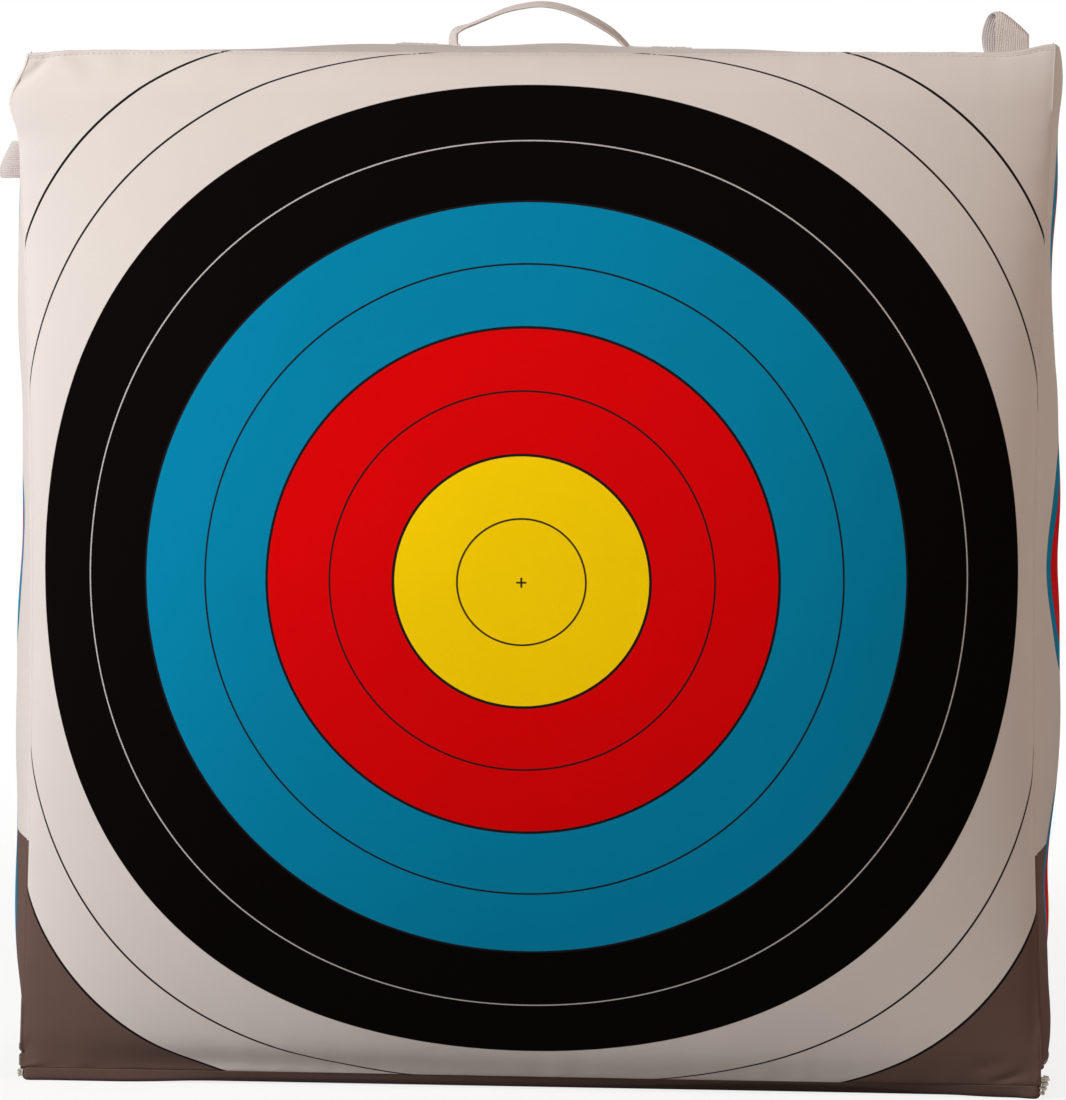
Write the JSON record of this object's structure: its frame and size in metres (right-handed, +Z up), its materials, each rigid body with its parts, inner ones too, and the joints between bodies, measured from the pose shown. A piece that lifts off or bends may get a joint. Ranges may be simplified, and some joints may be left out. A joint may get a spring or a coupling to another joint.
{
  "type": "archery target",
  "caption": "Free-standing stuffed bag target for archery with a printed ring face, a carrying handle on top, webbing hanging loops and a zipped bottom flap",
  "frame": {"origin": "the middle of the flat underside that the bag stands on", "axes": "+Z is up; +X is to the right of somebody who faces the ring face; the ring face looks along -Y and +Y points to the back"},
  "size_m": [0.7247, 0.368, 0.7013],
  "materials": {
    "printed_cover": "woven polyester, printed with target rings, matt",
    "plain_cover": "dark woven polyester, matt",
    "webbing": "flat woven strap, slight sheen",
    "binding_tape": "folded tape, matt",
    "zip_tape": "woven zip tape, matt",
    "zip_coil": "moulded nylon coil, satin",
    "zip_metal": "enamelled die casting, satin",
    "backing_cloth": "plain woven patch, matt",
    "sack_weave": "woven plastic sacking, dull",
    "fibre_fill": "packed textile fibre, matt"
  },
  "bodies": {
    "cover": {"back_panel": "printed_cover", "back_seam_binding": "binding_tape", "fill_back": "fibre_fill", "fill_core": "fibre_fill", "fill_front": "fibre_fill", "front_panel": "printed_cover", "front_seam_binding": "binding_tape", "handle_foot_left": "webbing", "handle_foot_right": "webbing", "handle_patch_left": "backing_cloth", "handle_patch_right": "backing_cloth", "inner_sack": "sack_weave", "left_panel": "printed_cover", "loop_tail_left": "webbing", "loop_tail_right": "webbing", "right_panel": "printed_cover", "sack_mouth_flap": "sack_weave", "tape_end_left": "zip_tape", "tape_end_right": "zip_tape", "top_panel": "printed_cover", "zip_coil_cover": "zip_coil", "zip_stop_left": "zip_metal", "zip_stop_right": "zip_metal", "zip_tape_cover": "zip_tape"},
    "handle": {"handle_strap": "webbing"},
    "loop_right": {"hang_loop_right": "webbing"},
    "loop_left": {"hang_loop_left": "webbing"},
    "slider": {"zip_slider": "zip_metal"},
    "pull": {"zip_pull": "zip_metal"},
    "flap": {"bottom_flap": "plain_cover", "zip_tape_flap": "zip_tape", "zip_coil_flap": "zip_coil"}
  },
  "joints": [
    {"name": "handle_swing", "type": "hinge", "parent": "cover", "child": "handle", "pos_m": [0, 0, 0.6828], "axis": [1, 0, 0], "range_deg": [-45, 45]},
    {"name": "hang_loop_right_swing", "type": "hinge", "parent": "cover", "child": "loop_right", "pos_m": [0.306, 0.1167, 0.6675], "axis": [1, 0, 0], "range_deg": [-90, 65]},
    {"name": "hang_loop_left_swing", "type": "hinge", "parent": "cover", "child": "loop_left", "pos_m": [-0.32902, 0.1167, 0.595], "axis": [0, 0, 1], "range_deg": [-90, 65]},
    {"name": "zipper_slide", "type": "slide", "parent": "cover", "child": "slider", "axis": [0, 1, 0], "range_m": [0, 0.2]},
    {"name": "zip_pull_flip", "type": "hinge", "parent": "slider", "child": "pull", "pos_m": [-0.3328, -0.104, 0.0105], "axis": [0, 0, 1], "range_deg": [0, 165]},
    {"name": "bottom_flap_fold", "type": "hinge", "parent": "cover", "child": "flap", "pos_m": [0, -0.12, 0.0087], "axis": [-1, 0, 0], "range_deg": [0, 110]}
  ]
}
